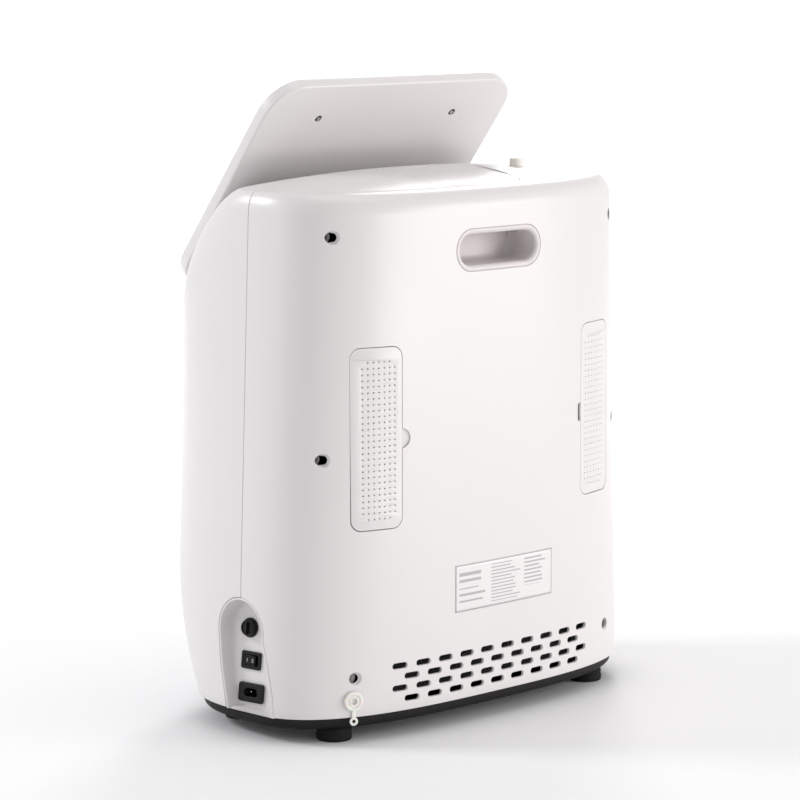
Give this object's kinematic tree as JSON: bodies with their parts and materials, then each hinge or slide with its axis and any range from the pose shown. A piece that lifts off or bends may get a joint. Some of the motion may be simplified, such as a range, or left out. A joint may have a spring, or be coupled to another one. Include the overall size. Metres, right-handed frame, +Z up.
{
  "type": "oxygen concentrator",
  "caption": "Floor-standing oxygen concentrator with a white moulded cabinet, tilted display, perforated filter covers, vents, carry pocket and power niche.",
  "frame": {"origin": "centre of the overall footprint, on the floor under the rubber feet", "axes": "+Z up, +Y towards the back with the carry pocket and vents, -Y towards the display, +X towards the power niche"},
  "size_m": [0.4957, 0.3196, 0.6523],
  "materials": {
    "shell_white": "satin",
    "base_black": "satin",
    "rubber_black": "matte",
    "screw_steel": "satin",
    "filter_foam": "matte",
    "inner_grey_plastic": "satin",
    "handle_grey": "satin",
    "fitting_black": "satin",
    "contact_metal": "satin",
    "fuse_glass": "gloss",
    "stopper_silicone": "satin",
    "label_film": "satin",
    "screen_glass": "gloss",
    "circuit_green": "satin",
    "jar_clear": "gloss",
    "fitting_ivory": "satin",
    "cast_aluminium": "satin",
    "steel_dark": "satin",
    "zinc_sheet": "satin",
    "bed_white": "satin",
    "cap_grey": "satin",
    "sensor_green": "satin",
    "coil_copper": "satin",
    "foam_dark": "matte"
  },
  "bodies": {
    "cabinet": {"rear_shell": "shell_white", "front_shell": "shell_white", "base_tray": "base_black", "rubber_feet": "rubber_black", "foot_screws": "screw_steel", "shell_screws": "screw_steel", "filter_foam_left": "filter_foam", "filter_foam_right": "filter_foam", "filter_frame_left": "inner_grey_plastic", "filter_frame_right": "inner_grey_plastic", "handle_insert": "handle_grey", "power_niche": "inner_grey_plastic", "fuse_holder": "fitting_black", "switch_body": "fitting_black", "inlet_body": "fitting_black", "inlet_pins": "contact_metal", "drain_spout": "stopper_silicone", "rating_label": "label_film", "display_housing": "shell_white", "display_glass": "screen_glass", "display_board": "circuit_green", "display_screws": "screw_steel", "display_bracket": "screw_steel", "humidifier_well": "inner_grey_plastic", "humidifier_jar": "jar_clear", "jar_lid": "fitting_ivory", "dip_tube": "stopper_silicone", "oxygen_outlet": "fitting_ivory", "motor_housing": "cast_aluminium", "crankcases": "cast_aluminium", "cylinder_heads": "cast_aluminium", "vibration_mounts": "rubber_black", "cradle": "zinc_sheet", "chassis": "inner_grey_plastic", "fan_frame": "fitting_black", "sieve_beds": "bed_white", "bed_caps": "cap_grey", "product_tank": "inner_grey_plastic", "valve_manifold": "cast_aluminium", "solenoid_coils": "fitting_black", "flow_sensor": "sensor_green", "cooling_coil": "coil_copper", "intake_silencer": "fitting_black", "power_supply": "zinc_sheet", "main_board": "circuit_green", "hoses": "stopper_silicone", "acoustic_foam": "foam_dark"},
    "filter_door_left": {"filter_cover_left": "shell_white"},
    "filter_door_right": {"filter_cover_right": "shell_white"},
    "fuse_slide": {"fuse_clip": "contact_metal", "glass_fuse": "fuse_glass"},
    "fuse_turn": {"fuse_cap": "fitting_black"},
    "rocker": {"switch_rocker": "fitting_black"},
    "drain_stopper": {"drain_plug": "stopper_silicone"},
    "hatch": {"top_hatch": "shell_white"},
    "fan": {"fan_rotor": "fitting_black"},
    "crank": {"crank_rotor": "steel_dark"},
    "piston_l": {"piston_left": "cast_aluminium"},
    "piston_r": {"piston_right": "cast_aluminium"},
    "spool": {"valve_spool": "contact_metal"}
  },
  "joints": [
    {"name": "filter_door_left_hinge", "type": "hinge", "parent": "cabinet", "child": "filter_door_left", "pos_m": [0.18297, 0.1377, 0.3045], "axis": [0, 0, -1], "range_deg": [0, 70]},
    {"name": "filter_door_right_hinge", "type": "hinge", "parent": "cabinet", "child": "filter_door_right", "pos_m": [-0.18297, 0.1377, 0.3045], "axis": [0, 0, 1], "range_deg": [0, 70]},
    {"name": "fuse_pull", "type": "slide", "parent": "cabinet", "child": "fuse_slide", "axis": [0.9775, 0.1724, 0.1219], "range_m": [0, 0.03]},
    {"name": "fuse_cap_turn", "type": "hinge", "parent": "fuse_slide", "child": "fuse_turn", "pos_m": [0.22358, 0.03214, 0.10675], "axis": [0.9775, 0.1724, 0.1219], "range_deg": [0, 90]},
    {"name": "switch_rock", "type": "hinge", "parent": "cabinet", "child": "rocker", "pos_m": [0.22664, 0.03756, 0.0745], "axis": [-0.12, -0.0212, 0.9925], "range_deg": [0, 24]},
    {"name": "drain_plug_pull", "type": "slide", "parent": "cabinet", "child": "drain_stopper", "axis": [0.3535, 0.9354, 0], "range_m": [0, 0.014]},
    {"name": "hatch_hinge", "type": "hinge", "parent": "cabinet", "child": "hatch", "pos_m": [0, 0.04659, 0.5602], "axis": [1, 0, 0], "range_deg": [0, 80]},
    {"name": "fan_spin", "type": "hinge", "parent": "cabinet", "child": "fan", "pos_m": [0, 0.02059, 0.232], "axis": [0, 0, 1], "continuous": true},
    {"name": "crank_spin", "type": "hinge", "parent": "cabinet", "child": "crank", "pos_m": [0, 0.03059, 0.112], "axis": [1, 0, 0], "continuous": true},
    {"name": "piston_left_slide", "type": "slide", "parent": "cabinet", "child": "piston_l", "axis": [0, 0, 1], "range_m": [-0.005, 0.005]},
    {"name": "piston_right_slide", "type": "slide", "parent": "cabinet", "child": "piston_r", "axis": [0, 0, 1], "range_m": [-0.005, 0.005]},
    {"name": "valve_spool_slide", "type": "slide", "parent": "cabinet", "child": "spool", "axis": [1, 0, 0], "range_m": [-0.004, 0.004]}
  ]
}
